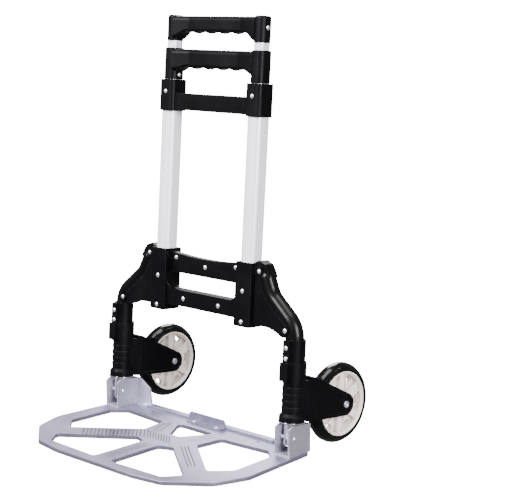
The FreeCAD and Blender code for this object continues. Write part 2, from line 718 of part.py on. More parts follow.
ear_rivet = rivet(Vector(gusset_rivets[0][0], gusset_front - ear_sheet, gusset_rivets[0][1]), forward,
                  ear_rivet_grip)
bend_rivet = rivet(Vector(gusset_rivets[1][0], gusset_boss_front, gusset_rivets[1][1]), forward, gusset_rivet_grip)
side_rivets = [ear_rivet, bend_rivet]
for height in leg_clamp_rivet_heights:
    side_rivets.append(rivet(Vector(leg_x, leg_clamp_lug_front, height), forward, leg_rivet_grip))
nodes["leg_rivets"] = Part.makeCompound([stand(one) for one in side_rivets]
                                        + [stand(mirrored(one)) for one in side_rivets])


# ---------------------------------------------------------------- leg clamps, collars, pivots and rings
def lugged_ring(radius, lug_width, lug_front, low, high, bore):
    """Ring round the leg with a block on its front for the rivets."""
    ring = rod(radius, Vector(leg_x, 0, low), up, high - low)
    lug = box(leg_x - lug_width / 2, leg_x + lug_width / 2, lug_front, 0, low, high)
    return ring.fuse(lug).cut(rod(bore, Vector(leg_x, 0, low - 1), up, high - low + 2)).removeSplitter()


leg_clamp = lugged_ring(leg_clamp_radius, leg_clamp_lug_width, leg_clamp_lug_front, leg_clamp_bottom,
                        leg_clamp_top, leg_tube_radius + fixed_gap)
for height in leg_clamp_rivet_heights:
    leg_clamp = leg_clamp.cut(rivet_hole(Vector(leg_x, leg_clamp_lug_front, height), forward, leg_rivet_grip))
both_sides("leg_clamp", leg_clamp, stand)

leg_collar = lugged_ring(collar_radius, collar_lug_width, collar_lug_front, collar_bottom,
                         leg_clamp_bottom, leg_tube_radius + fixed_gap)
both_sides("leg_collar", leg_collar, stand)


def pivot_tube():
    """Tube that carries the leg's foot: the wheel bracket turns on it and the hinge pin crosses it."""
    body = rod(pivot_radius, Vector(leg_x, 0, pivot_bottom), up, pivot_top - pivot_bottom)
    rim = [edge for edge in body.Edges if abs(edge.CenterOfMass.z - pivot_bottom) < 0.01]
    body = body.makeFillet(pivot_round, rim)
    bore_start = Vector(leg_x, 0, pivot_bottom + pivot_wall)
    body = body.cut(rod(pivot_radius - pivot_wall, bore_start, up, far))
    crossing = rod(hinge_pin_radius + running_gap, Vector(leg_x - 20, hinge_y, hinge_z), across, 40)
    return body.cut(crossing)


both_sides("pivot_tube", pivot_tube(), stand)

leg_ring = rod(ring_radius, Vector(leg_x, 0, ring_bottom), up, ring_top - ring_bottom)
leg_ring = leg_ring.cut(rod(pivot_radius + fixed_gap, Vector(leg_x, 0, 0), up, far))
both_sides("leg_ring", leg_ring, stand)


# ---------------------------------------------------------------- wheel brackets
def tangent_point(outside, centre, radius, side):
    """Where the tangent from a point outside touches a circle, in Y and Z."""
    gap = math.hypot(centre[0] - outside[0], centre[1] - outside[1])
    heading = math.atan2(outside[1] - centre[1], outside[0] - centre[0])
    turn = math.acos(radius / gap) * side
    return centre[0] + radius * math.cos(heading + turn), centre[1] + radius * math.sin(heading + turn)


def fork_side(shrink, low, high, rise, left, right):
    """Side outline of the fork: full height at the sleeve, a step up behind it, then a taper to the axle."""
    centre = (axle_y, axle_z)
    radius = fork_end_radius - shrink
    top_start = (fork_shoulder, high + rise)
    low_start = (0.0, low)
    top = tangent_point(top_start, centre, radius, -1)
    bottom = tangent_point(low_start, centre, radius, 1)
    corners = (top_start, top, bottom, low_start, (0.0, high), (fork_step, high), (fork_step, high + rise))
    if rise <= 0:
        corners = corners[:5]
    place = [Vector(left, y, z) for y, z in corners]
    tip = Vector(left, centre[0] + radius, centre[1])
    edges = [Part.LineSegment(place[0], place[1]).toShape(), Part.Arc(place[1], tip, place[2]).toShape()]
    for index in range(2, len(place)):
        edges.append(Part.LineSegment(place[index], place[(index + 1) % len(place)]).toShape())
    return Part.Face(Part.Wire(edges)).extrude(across * (right - left))


def sleeve():
    body = rod(sleeve_radius, Vector(leg_x, 0, sleeve_bottom), up, sleeve_top - sleeve_bottom)
    flare = rod(sleeve_flare_radius, Vector(leg_x, 0, sleeve_bottom), up, sleeve_flare_height)
    cone = Part.makeCone(sleeve_flare_radius, sleeve_radius, 4, Vector(leg_x, 0, sleeve_bottom + sleeve_flare_height))
    body = body.fuse(flare).fuse(cone)
    rib_span = sleeve_top - sleeve_bottom - sleeve_flare_height - 4
    pitch = rib_span / sleeve_rib_count
    for index in range(sleeve_rib_count):
        low = sleeve_bottom + sleeve_flare_height + 4 + (index + 1) * pitch - sleeve_rib_height
        body = body.fuse(rod(sleeve_rib_radius, Vector(leg_x, 0, low), up, sleeve_rib_height))
    return body


def wheel_fork():
    """Sleeve that turns on the pivot tube, with a two-armed fork for the wheel behind it."""
    spread = fork_outer
    plan = ((leg_x - 12, 2), (leg_x + 12, 2), (leg_x + spread, fork_shoulder), (leg_x + spread, axle_y + 60),
            (leg_x - spread, axle_y + 60), (leg_x - spread, fork_shoulder))
    body = fork_side(0, sleeve_bottom, sleeve_top, fork_rise, leg_x - spread, leg_x + spread)
    body = body.common(plan_prism(plan, 0, 0, far))
    wheel_room = rod(wheel_radius + fork_tyre_clearance, Vector(leg_x - fork_inner, axle_y, axle_z), across,
                     2 * fork_inner)
    body = body.cut(wheel_room)
    panel = fork_side(fork_panel_border, sleeve_bottom + fork_panel_border, sleeve_top - fork_panel_border,
                      0, leg_x - spread, leg_x + spread)
    keep_boss = rod(axle_recess_radius + 3, Vector(leg_x - spread, axle_y, axle_z), across, 2 * spread)
    panel = panel.cut(box(0, far, -far, fork_shoulder + 6, 0, far)).cut(keep_boss)
    for left in (leg_x - spread, leg_x + spread - fork_panel_depth):
        body = body.cut(panel.common(box(left, left + fork_panel_depth, 0, far, 0, far)))
    body = body.fuse(sleeve())
    body = body.cut(rod(pivot_radius + running_gap, Vector(leg_x, 0, 0), up, far))
    body = body.cut(rod(ring_radius + 1.5, Vector(leg_x, 0, 0), up, sleeve_bottom))
    axle_bore = rod(axle_radius + rivet_hole_gap, Vector(leg_x - spread - 1, axle_y, axle_z), across, 2 * spread + 2)
    body = body.cut(axle_bore)
    for left in (leg_x - spread - 1, leg_x + spread - axle_recess_depth):
        body = body.cut(rod(axle_recess_radius, Vector(left, axle_y, axle_z), across, axle_recess_depth + 1))
    return body.removeSplitter()


def hexagon(centre, direction, across_flats, depth):
    """Hexagonal prism along X."""
    reach = across_flats / math.sqrt(3)
    points = []
    for index in range(7):
        angle = math.radians(60 * index)
        points.append(centre + Vector(0, reach * math.cos(angle), reach * math.sin(angle)))
    return Part.Face(Part.makePolygon(points)).extrude(direction * depth)


axle_seat = fork_outer - axle_recess_depth
axle_centre = Vector(leg_x, axle_y, axle_z)


def axle_bolt():
    """Socket-headed axle bolt, with its head outboard."""
    start = axle_centre + across * axle_seat
    head = rod(axle_head_radius, start, across, axle_head_height)
    rim = [edge for edge in head.Edges if abs(edge.CenterOfMass.x - start.x - axle_head_height) < 0.01]
    head = head.makeFillet(1.0, rim)
    head = head.cut(hexagon(start + across * (axle_head_height - 1.8), across, 5.0, 3))
    shank = rod(axle_radius, axle_centre - across * (axle_seat + axle_head_height - 1.5), across,
                2 * axle_seat + axle_head_height - 1.5)
    return head.fuse(shank).removeSplitter()


def axle_nut():
    """Domed cap nut inboard, over the bolt's end."""
    start = axle_centre - across * axle_seat
    base = rod(axle_head_radius, start, across * -1, axle_head_height)
    rim = [edge for edge in base.Edges if abs(edge.CenterOfMass.x - start.x + axle_head_height) < 0.01]
    base = base.makeFillet(1.8, rim)
    return base.cut(rod(axle_radius + fixed_gap, start + across, across * -1, axle_head_height))


def axle_spacers():
    """A washer each side, between the fork arm and the bearing."""
    pieces = []
    for side in (-1, 1):
        inner = rim_width / 2 + body_gap
        start = axle_centre + across * (side * inner)
        ring = rod(spacer_radius, start, across * side, fork_inner - inner)
        pieces.append(ring.cut(rod(axle_radius + fixed_gap, start - across * (side * 5), across * side, 20)))
    return pieces


both_sides("wheel_fork", wheel_fork(), stand)
both_sides("axle_bolt", axle_bolt(), stand)
both_sides("axle_nut", axle_nut(), stand)
nodes["right_axle_spacers"] = Part.makeCompound([stand(piece) for piece in axle_spacers()])
nodes["left_axle_spacers"] = Part.makeCompound([stand(mirrored(piece)) for piece in axle_spacers()])


# ---------------------------------------------------------------- wheels
def turned(profile):
    """Ring turned about the axle from (x, radius) points, joined by straight edges."""
    points = [Vector(leg_x + x, axle_y, axle_z + radius) for x, radius in profile]
    face = Part.Face(Part.makePolygon(points + points[:1]))
    return face.revolve(axle_centre, across, 360)


def wheel_hub():
    """Moulded hub: rim, thin web with windows, six ridged spokes and a boss for the bearings."""
    half = rim_width / 2
    rim_inner = rim_radius - rim_lip
    body = turned(((-half, rim_inner + 0.8), (-half + 3, rim_inner - 1.2), (half - 3, rim_inner - 1.2),
                   (half, rim_inner + 0.8), (half, rim_radius), (-half, rim_radius)))
    start = axle_centre - across * (hub_web / 2)
    body = body.fuse(rod(rim_inner + 0.5, start, across, hub_web))
    body = body.fuse(rod(hub_radius, axle_centre - across * half, across, rim_width))
    spoke_end = rim_inner + 0.3
    for index in range(spoke_count):
        spoke = Part.makeBox(spoke_thickness, spoke_width, spoke_end,
                             axle_centre + Vector(-spoke_thickness / 2, -spoke_width / 2, 0))
        rise = spoke_thickness / 2 + spoke_ridge_rise
        for edge in (-spoke_width / 2, spoke_width / 2 - spoke_ridge):
            ridge = Part.makeBox(2 * rise, spoke_ridge, spoke_end, axle_centre + Vector(-rise, edge, 0))
            spoke = spoke.fuse(ridge)
        spoke.rotate(axle_centre, across, 360 * index / spoke_count)
        body = body.fuse(spoke)
    for index in range(spoke_count):
        corners = ((axle_y - window_half_width, axle_z + window_inner),
                   (axle_y + window_half_width, axle_z + window_inner),
                   (axle_y + window_spread, axle_z + window_outer),
                   (axle_y - window_spread, axle_z + window_outer))
        window = side_prism(corners, 1.5, leg_x - half, leg_x + half)
        window.rotate(axle_centre, across, 360 * (index + 0.5) / spoke_count)
        body = body.cut(window)
    body = body.cut(rod(bearing_radius, axle_centre - across * half, across, bearing_width))
    body = body.cut(rod(bearing_radius, axle_centre + across * (half - bearing_width), across, bearing_width))
    body = body.cut(rod(bearing_radius - 2, axle_centre - across * half, across, rim_width))
    return body.removeSplitter()


def tyre():
    """Tyre with one round crown between short sloping sides."""
    half = rim_width / 2
    bulge = tyre_width / 2

    def at(x, radius):
        return Vector(leg_x + x, axle_y, axle_z + radius)

    seat = rim_radius + fixed_gap
    edges = [Part.LineSegment(at(half, seat), at(-half, seat)).toShape(),
             Part.LineSegment(at(-half, seat), at(-bulge, tyre_side_radius)).toShape(),
             Part.Arc(at(-bulge, tyre_side_radius), at(0, wheel_radius), at(bulge, tyre_side_radius)).toShape(),
             Part.LineSegment(at(bulge, tyre_side_radius), at(half, seat)).toShape()]
    return Part.Face(Part.Wire(edges)).revolve(axle_centre, across, 360)


def bearings():
    """Two ball bearings as closed rings, each with a shield groove, and the spacer tube between them."""
    pieces = []
    half = rim_width / 2
    radius = bearing_radius - fixed_gap
    for side in (-1, 1):
        face = axle_centre + across * (side * half)
        ring = rod(radius, face, across * -side, bearing_width - fixed_gap)
        groove = rod(radius - 2, face, across * -side, bearing_groove)
        groove = groove.cut(rod(axle_radius + 2, face, across * -side, bearing_groove))
        ring = ring.cut(groove).cut(rod(axle_radius + fixed_gap, face, across * -side, bearing_width))
        pieces.append(ring)
    length = rim_width - 2 * bearing_width
    tube_start = axle_centre - across * (length / 2)
    inner = rod(axle_radius + fixed_gap, tube_start, across, length)
    pieces.append(rod(axle_radius + 2, tube_start, across, length).cut(inner))
    return pieces


both_sides("wheel_hub", wheel_hub(), stand)
both_sides("tyre", tyre(), stand)
nodes["right_wheel_bearings"] = Part.makeCompound([stand(piece) for piece in bearings()])
nodes["left_wheel_bearings"] = Part.makeCompound([stand(mirrored(piece)) for piece in bearings()])


# ---------------------------------------------------------------- toe plate
def tread_groove(start, end):
    """Cutter for a straight groove in the plate's top, between two points in X and Y."""
    along = Vector(end[0] - start[0], end[1] - start[1], 0).normalize()
    aside = Vector(-along.y, along.x, 0) * (tread_groove_width / 2)
    corners = []
    for point, turn in ((start, 1), (end, 1), (end, -1), (start, -1)):
        corners.append((point[0] + turn * aside.x, point[1] + turn * aside.y))
    return plan_prism(corners, 0, plate_thickness - tread_groove_depth, plate_thickness + 1)


def tread_grooves():
    """Grooves across the left rib and the hub, and three along each of the other ribs."""
    grooves = []
    slope = Vector(tread_cross_knee[0] - tread_cross_start[0], tread_cross_knee[1] - tread_cross_start[1], 0)
    rib_length = slope.Length
    slope.normalize()
    for index in range(tread_cross_count):
        gone = index * tread_cross_pitch
        centre = Vector(tread_cross_start[0], tread_cross_start[1], 0) + slope * gone
        if gone > rib_length:
            centre = Vector(tread_cross_knee[0] + gone - rib_length, tread_cross_knee[1], 0)
        if centre.x > tread_cross_end[0]:
            break
        half = Vector(0.7, -0.72, 0).normalize() * tread_cross_half_length
        grooves.append(tread_groove((centre.x - half.x, centre.y - half.y), (centre.x + half.x, centre.y + half.y)))
    for x0, y0, x1, y1 in tread_lines:
        aside = Vector(y0 - y1, x1 - x0, 0).normalize() * tread_line_gap
        for step in (-1, 0, 1):
            grooves.append(tread_groove((x0 + step * aside.x, y0 + step * aside.y),
                                        (x1 + step * aside.x, y1 + step * aside.y)))
    return grooves


def toe_plate():
    """Cast plate with five ribs meeting near its middle, a raised rear rail and a ribbed tread."""
    half = ((plate_half_width_rear, plate_rear_reach, 9), (plate_half_width, plate_side_end, 25),
            plate_shoulder + (30,), plate_front_corner + (25,), (80.0, -plate_front_reach, 60))
    other = tuple((-corner[0],) + tuple(corner[1:]) for corner in reversed(half))
    body = plan_prism(half + other, plate_corner_radius, 0, plate_thickness)
    rim = [edge for edge in body.Edges if abs(edge.BoundBox.ZMin - plate_thickness) < 0.01]
    body = body.makeFillet(plate_edge_round, rim)
    rail = box(-rear_rail_half_length, rear_rail_half_length, rear_rail_front, plate_rear_reach - 0.01,
               0.01, rear_rail_height)
    ridge = [edge for edge in rail.Edges if abs(edge.BoundBox.ZMin - rear_rail_height) < 0.01]
    body = body.fuse(rail.makeFillet(plate_edge_round, ridge))
    windows = [side_window, mirrored_corners(side_window), front_window, mirrored_corners(front_window)]
    for window in windows:
        body = body.cut(plan_prism(window, plate_hole_corner, -1, plate_thickness + 1))
    body = body.cut(plan_prism(centre_window, 5.0, -1, plate_thickness + 1))
    for groove in tread_grooves():
        body = body.cut(groove)
    for side in (-1, 1):
        body = body.cut(rod(rail_hole_radius, Vector(side * rail_hole_x, rail_hole_y, -1), up, far))
        for x, y in bracket_foot_rivets:
            hole = rod(rivet_radius + rivet_hole_gap, Vector(side * x, y, -1), up, far)
            body = body.cut(hole)
        body = body.cut(rod(rivet_radius + rivet_hole_gap, Vector(side * stop_rivet_x, stop_rivet_y, -1), up, far))
    return body


bracket_foot_rivets = ((leg_x, 17.0), (leg_x - 36.0, 21.5))
stop_rivet_y = rear_rail_front - stop_sheet - rivet_head_radius - 0.5
half_bracket = hinge_bracket_width / 2


def hinge_bracket():
    """Pressed channel that straddles the leg's foot, with a wing along the plate's rear edge."""
    rear = plate_rear_reach
    nose = hinge_swing_radius
    floor = plate_thickness
    front_rise = math.sqrt(nose ** 2 - (hinge_bracket_front - hinge_ahead) ** 2)
    nose_angle = math.atan2(front_rise, hinge_ahead - hinge_bracket_front)
    arc_angle = (nose_angle + math.pi / 2) / 2
    points = [(-hinge_bracket_front, floor), (-hinge_bracket_front, hinge_height + front_rise),
              (-hinge_ahead + nose * math.cos(arc_angle), hinge_height + nose * math.sin(arc_angle)),
              (-hinge_ahead, hinge_height + nose), (rear, hinge_bracket_rear_top), (rear, floor)]
    place = [Vector(leg_x - half_bracket, y, z) for y, z in points]
    edges = [Part.LineSegment(place[0], place[1]).toShape(), Part.Arc(place[1], place[2], place[3]).toShape(),
             Part.LineSegment(place[3], place[4]).toShape(), Part.LineSegment(place[4], place[5]).toShape(),
             Part.LineSegment(place[5], place[0]).toShape()]
    body = Part.Face(Part.Wire(edges)).extrude(across * hinge_bracket_width)
    inside = box(leg_x - half_bracket + hinge_sheet, leg_x + half_bracket - hinge_sheet, -far, rear - hinge_sheet,
                 floor + hinge_sheet, far)
    body = body.cut(inside)
    edge_x = leg_x - half_bracket
    wing = ((edge_x + 1, floor), (edge_x + 1, hinge_bracket_rear_top), (edge_x - 6, hinge_bracket_rear_top),
            (leg_x - hinge_wing_knee[0], hinge_wing_knee[1]), (leg_x - hinge_wing_reach, hinge_wing_end_height),
            (leg_x - hinge_wing_reach, floor))
    body = body.fuse(front_prism(wing, 0, rear - hinge_sheet, rear))
    foot_front = bracket_foot_rivets[1][1] - rivet_head_radius - 1.0
    foot = box(leg_x - hinge_wing_reach, edge_x + 1, foot_front, rear, floor, floor + hinge_sheet)
    body = body.fuse(foot)
    body = body.cut(rod(hinge_pin_radius + fixed_gap, Vector(leg_x - 30, -hinge_ahead, hinge_height), across, 60))
    for x, y in bracket_foot_rivets:
        body = body.cut(rod(rivet_radius + rivet_hole_gap, Vector(x, y, 0), up, floor + hinge_sheet + 1))
    return body.removeSplitter()


def hinge_pin():
    """Pin through both cheeks of the bracket and the pivot tube, peened at both ends."""
    left = Vector(leg_x - half_bracket, -hinge_ahead, hinge_height)
    right = Vector(leg_x + half_bracket, -hinge_ahead, hinge_height)
    body = rod(hinge_pin_radius, left, across, hinge_bracket_width)
    body = body.fuse(dome(right, across, hinge_pin_head_radius, hinge_pin_head_height))
    return body.fuse(dome(left, across * -1, hinge_pin_head_radius, hinge_pin_head_height)).removeSplitter()


def rear_stop():
    """Bent tab riveted to the plate, standing against the rear rail."""
    rear = rear_rail_front - 0.02
    front = rear - stop_sheet
    upright = ((-stop_half_width, plate_thickness, 0.5), (-stop_half_width, stop_height), (stop_half_width, stop_height),
               (stop_half_width, plate_thickness, 0.5))
    body = front_prism(upright, stop_corner, front, rear)
    foot = box(-stop_half_width + 2, stop_half_width - 2, front - stop_foot + 1, rear - 0.5, plate_thickness,
               plate_thickness + stop_sheet)
    body = body.fuse(foot)
    for side in (-1, 1):
        body = body.cut(rod(rivet_radius + rivet_hole_gap, Vector(side * stop_rivet_x, stop_rivet_y, 0), up,
                            plate_thickness + stop_sheet + 1))
    return body.removeSplitter()


nodes["toe_plate"] = on_floor(toe_plate())
both_sides("hinge_bracket", hinge_bracket(), on_floor)
both_sides("hinge_pin", hinge_pin(), on_floor)
nodes["rear_stop"] = on_floor(rear_stop())
plate_rivets = []
for side in (-1, 1):
    for x, y in bracket_foot_rivets:
        seat = Vector(side * x, y, plate_thickness + hinge_sheet)
        plate_rivets.append(on_floor(rivet(seat, up, plate_thickness + hinge_sheet - 0.5)))
    seat = Vector(side * stop_rivet_x, stop_rivet_y, plate_thickness + stop_sheet)
    plate_rivets.append(on_floor(rivet(seat, up, plate_thickness + stop_sheet - 0.5)))
nodes["plate_rivets"] = Part.makeCompound(plate_rivets)


# ---------------------------------------------------------------- handles
def cross_section(x, depth, low, high, corner):
    """Rounded rectangle standing across the truck at x."""
    corners = ((-depth / 2, low), (depth / 2, low), (depth / 2, high), (-depth / 2, high))
    return outline(corners, corner, lambda p: Vector(x, p.x, p.y))


def handle(tube_size, wall, bottom, top, socket_round, tube_top, next_size, grip_height, arch_reach, arch_bottom,
           rivet_seat, rivet_direction, grip):
    """Moulded handle: a socket on each tube and a finger grip between, arched where it meets the sockets."""
    width, depth, corner = tube_size
    socket_width = width + 2 * wall
    socket_depth = depth + 2 * wall
    grip_top = top - 1.5
    grip_bottom = grip_top - grip_height
    half_span = tube_x - socket_width / 2 + 2
    body = box(-half_span, half_span, -grip_depth / 2, grip_depth / 2, grip_bottom, grip_top)
    lengthwise = [edge for edge in body.Edges if abs(edge.tangentAt(edge.FirstParameter).x) > 0.99]
    body = body.makeFillet(grip_corner, lengthwise)
    finger_radius = ((finger_pitch / 2) ** 2 + finger_depth ** 2) / (2 * finger_depth)
    for index in range(finger_count):
        x = (index - (finger_count - 1) / 2) * finger_pitch
        centre = Vector(x, -grip_depth, grip_bottom + finger_depth - finger_radius)
        body = body.cut(rod(finger_radius, centre, rearward, 2 * grip_depth))
    for side in (-1, 1):
        wall_x = side * (tube_x - socket_width / 2)
        inner_x = wall_x - side * arch_reach
        height = grip_bottom + grip_corner - arch_bottom
        near = cross_section(wall_x + side * 5, flare_depth, arch_bottom, grip_top - 0.3, grip_corner)
        end = cross_section(inner_x, grip_depth - 2 * flare_inset, grip_bottom + flare_inset,
                            grip_top - flare_inset, grip_corner - flare_inset)
        flare = Part.makeLoft([near, end], True, True)
        arc_radius = (arch_reach ** 2 + height ** 2) / (2 * height)
        arc_centre = Vector(inner_x, -2 * grip_depth, grip_bottom + grip_corner - arc_radius)
        body = body.fuse(flare.cut(rod(arc_radius, arc_centre, rearward, 4 * grip_depth)))
    for side in (-1, 1):
        socket = post(socket_width, socket_depth, socket_outer_corner, bottom, top, side * tube_x)
        rim = [edge for edge in socket.Edges if abs(edge.BoundBox.ZMin - top) < 0.01]
        body = body.fuse(socket.makeFillet(socket_round, rim))
    for side in (-1, 1):
        tube_bore = post(width + 2 * fixed_gap, depth + 2 * fixed_gap, corner, bottom - 1, tube_top, side * tube_x)
        body = body.cut(tube_bore)
        if next_size:
            next_width, next_depth, next_corner = next_size
            guide = post(next_width + 2 * guide_gap, next_depth + 2 * guide_gap, next_corner, bottom, top + 1,
                         side * tube_x)
            body = body.cut(guide)
        seat = Vector(side * rivet_seat.x, rivet_seat.y, rivet_seat.z)
        body = body.cut(rivet_hole(seat, rivet_direction * side, grip))
    return body.removeSplitter()


middle_size = (middle_tube_width, middle_tube_depth, middle_tube_corner)
inner_size = (inner_tube_width, inner_tube_depth, inner_tube_corner)
middle_handle_bottom = clamp_top + body_gap
nodes["middle_handle"] = stand(handle(middle_size, middle_socket_wall, middle_handle_bottom, middle_handle_top,
                                      middle_socket_round, middle_tube_top, inner_size, middle_grip_height, middle_arch_reach,
                                      middle_arch_bottom, middle_handle_rivet_seat, across * -1,
                                      middle_handle_rivet_grip))
nodes["top_handle"] = stand(handle(inner_size, top_socket_wall, top_handle_bottom, top_handle_top,
                                   top_socket_round, inner_tube_top,
                                   None, top_grip_height, top_arch_reach, top_handle_bottom + 1,
                                   top_handle_rivet_seat, across, top_handle_rivet_grip))
middle_handle_rivet = rivet(middle_handle_rivet_seat, across * -1, middle_handle_rivet_grip - fixed_gap)
nodes["middle_handle_rivets"] = Part.makeCompound([stand(middle_handle_rivet), stand(mirrored(middle_handle_rivet))])
top_handle_rivet = rivet(top_handle_rivet_seat, across, top_handle_rivet_grip - fixed_gap)
nodes["top_handle_rivets"] = Part.makeCompound([stand(top_handle_rivet), stand(mirrored(top_handle_rivet))])

# ---------------------------------------------------------------- export
os.makedirs("parts", exist_ok=True)
for name, shape in nodes.items():
    shape.exportStep("parts/" + name + ".step")
    print(name, len(shape.Solids), round(shape.Volume, 1), shape.isValid())
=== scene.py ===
import json
import math

import bmesh
import bpy
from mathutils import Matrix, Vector


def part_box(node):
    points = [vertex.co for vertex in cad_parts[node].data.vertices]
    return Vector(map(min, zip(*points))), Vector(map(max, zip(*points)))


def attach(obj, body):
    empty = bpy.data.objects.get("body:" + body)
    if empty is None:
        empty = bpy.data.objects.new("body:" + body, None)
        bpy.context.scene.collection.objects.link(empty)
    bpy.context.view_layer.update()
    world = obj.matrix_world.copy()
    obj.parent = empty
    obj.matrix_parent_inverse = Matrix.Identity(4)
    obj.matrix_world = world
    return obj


# Looks of the folding hand truck. Metres, in the frame of the CAD model.
WHITE = (1.0, 1.0, 1.0)
COOL = (0.97, 0.965, 1.03)
LAVENDER = (0.98, 0.955, 1.09)
VIOLET = (1.05, 0.92, 1.22)
SILVER = (0.95, 0.885, 1.27)
WARM = (1.0, 0.98, 0.94)

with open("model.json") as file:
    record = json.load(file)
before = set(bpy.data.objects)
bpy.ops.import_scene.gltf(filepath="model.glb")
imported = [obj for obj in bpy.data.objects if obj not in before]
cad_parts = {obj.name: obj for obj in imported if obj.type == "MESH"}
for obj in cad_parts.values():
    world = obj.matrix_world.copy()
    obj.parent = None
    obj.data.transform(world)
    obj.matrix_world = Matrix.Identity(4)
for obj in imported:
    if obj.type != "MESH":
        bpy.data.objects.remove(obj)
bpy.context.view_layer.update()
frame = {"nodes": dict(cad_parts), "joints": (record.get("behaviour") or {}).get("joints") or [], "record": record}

JOINTS = {joint["name"]: joint for joint in frame["joints"]}
SLIDE = Vector(JOINTS["middle_stage_slide"]["axis"])
LEAN = math.atan2(SLIDE.y, SLIDE.z)     # how far the frame and its tubes lean back


# ---------------------------------------------------------------- shader building
class Shader:
    """A node material: a Principled surface, and short calls that add and join nodes."""

    def __init__(self, name):
        self.material = bpy.data.materials.new(name)
        self.material.use_nodes = True
        self.tree = self.material.node_tree
        self.tree.nodes.clear()
        self.surface = self.node("ShaderNodeBsdfPrincipled")
        output = self.node("ShaderNodeOutputMaterial")
        self.join(self.surface.outputs[0], output.inputs["Surface"])
        self.place = self.node("ShaderNodeTexCoord").outputs["Object"]

    def node(self, kind, inputs=None, **settings):
        made = self.tree.nodes.new(kind)
        for key, value in settings.items():
            setattr(made, key, value)
        for key, value in (inputs or {}).items():
            self.put(made.inputs[key], value)
        return made

    def join(self, source, target):
        self.tree.links.new(source, target)

    def put(self, socket, value):
        if isinstance(value, bpy.types.NodeSocket):
            self.join(value, socket)
        else:
            socket.default_value = value

    def set(self, **values):
        """Surface inputs by name, with underscores for spaces."""
        for key, value in values.items():
            self.put(self.surface.inputs[key.replace("_", " ")], value)

    def stretched(self, scale, turn=(0.0, 0.0, 0.0)):
        """Object coordinates, turned and then scaled along each axis."""
        turned = self.node("ShaderNodeMapping", {"Vector": self.place, "Rotation": turn})
        scaled = self.node("ShaderNodeMapping", {"Vector": turned.outputs[0], "Scale": scale})
        return scaled.outputs[0]

    def noise(self, scale, detail=3.0, roughness=0.55, vector=None, distortion=0.0):
        inputs = {"Vector": vector or self.place, "Scale": scale, "Detail": detail, "Roughness": roughness,
                  "Distortion": distortion}
        return self.node("ShaderNodeTexNoise", inputs).outputs["Fac"]

    def cells(self, scale, feature="F1"):
        made = self.node("ShaderNodeTexVoronoi", {"Vector": self.place, "Scale": scale}, feature=feature)
        return made.outputs["Distance"]

    def span(self, value, low, high, start, end):
        """Value mapped from low..high to start..end, clamped."""
        inputs = {"Value": value, "From Min": low, "From Max": high, "To Min": start, "To Max": end}
        return self.node("ShaderNodeMapRange", inputs).outputs[0]

    def product(self, a, b):
        return self.node("ShaderNodeMath", {0: a, 1: b}, operation="MULTIPLY").outputs[0]

    def total(self, a, b):
        return self.node("ShaderNodeMath", {0: a, 1: b}, operation="ADD").outputs[0]

    def above(self, value, limit):
        """1 where value is over limit, else 0."""
        return self.node("ShaderNodeMath", {0: value, 1: limit}, operation="GREATER_THAN").outputs[0]

    def mix(self, share, first, second):
        """Colour from first, at share 0, to second, at share 1."""
        made = self.node("ShaderNodeMix", data_type="RGBA")
        factor, colour_a, colour_b = made.inputs[0], made.inputs[6], made.inputs[7]
        self.put(factor, share)
        self.put(colour_a, first)
        self.put(colour_b, second)
        return made.outputs[2]

    def bump(self, height, distance, strength, normal=None):
        """Normal raised by height; normal is the one to start from, if not the surface's own."""
        made = self.node("ShaderNodeBump", {"Height": height, "Distance": distance, "Strength": strength})
        if normal is not None:
            self.join(normal, made.inputs["Normal"])
        return made.outputs[0]

    def rounded(self, radius):
        """Normal of the surface with its edges rounded."""
        return self.node("ShaderNodeBevel", {"Radius": radius}, samples=6).outputs[0]

    def edges(self, radius):
        """1 on outer and inner edges, 0 on flats."""
        plain = self.node("ShaderNodeNewGeometry").outputs["Normal"]
        both = {0: plain, 1: self.rounded(radius)}
        likeness = self.node("ShaderNodeVectorMath", both, operation="DOT_PRODUCT").outputs["Value"]
        return self.span(likeness, 0.90, 0.995, 1.0, 0.0)


def grey(value, tint=WHITE):
    return (value * tint[0], value * tint[1], value * tint[2], 1.0)


# ---------------------------------------------------------------- materials
def moulded_black():
    """Glass-filled black nylon: fine spark-eroded grain, paler rubbed edges, faint flow marks."""
    s = Shader("black_plastic")
    cloud = s.noise(22.0, 4.0)
    fine = s.noise(2600.0, 2.0)
    pits = s.cells(1500.0)
    rub = s.product(s.edges(0.0012), s.span(s.noise(160.0, 4.0), 0.42, 0.62, 0.0, 1.0))
    base = s.mix(cloud, grey(0.0006, VIOLET), grey(0.0015, VIOLET))
    s.set(Base_Color=s.mix(s.product(rub, 0.5), base, grey(0.028, COOL)))
    rough = s.total(s.span(cloud, 0.3, 0.7, 0.33, 0.46), s.product(fine, 0.06))
    s.set(Roughness=rough, Specular_IOR_Level=0.11, Specular_Tint=(0.93, 0.88, 1.0, 1.0), IOR=1.5)
    height = s.total(s.product(fine, 0.6), s.product(pits, 0.6))
    s.set(Normal=s.bump(height, 0.00009, 0.55, s.rounded(0.0006)))
    return s.material


def coated_steel():
    """Powder-coated steel tube: orange-peel skin, glossier than the mouldings, small pale chips."""
    s = Shader("coated_tube")
    peel = s.noise(700.0, 2.0)
    cloud = s.noise(18.0, 3.0)
    chips = s.span(s.noise(330.0, 5.0, 0.7), 0.735, 0.75, 0.0, 1.0)
    base = s.mix(cloud, grey(0.0006, VIOLET), grey(0.0015, VIOLET))
    s.set(Base_Color=s.mix(s.product(chips, 0.6), base, grey(0.10)))
    s.set(Roughness=s.span(cloud, 0.3, 0.7, 0.25, 0.34), Specular_IOR_Level=0.16)
    s.set(Coat_Weight=0.05, Coat_Roughness=0.20)
    s.set(Normal=s.bump(peel, 0.00012, 0.35, s.rounded(0.0005)))
    return s.material


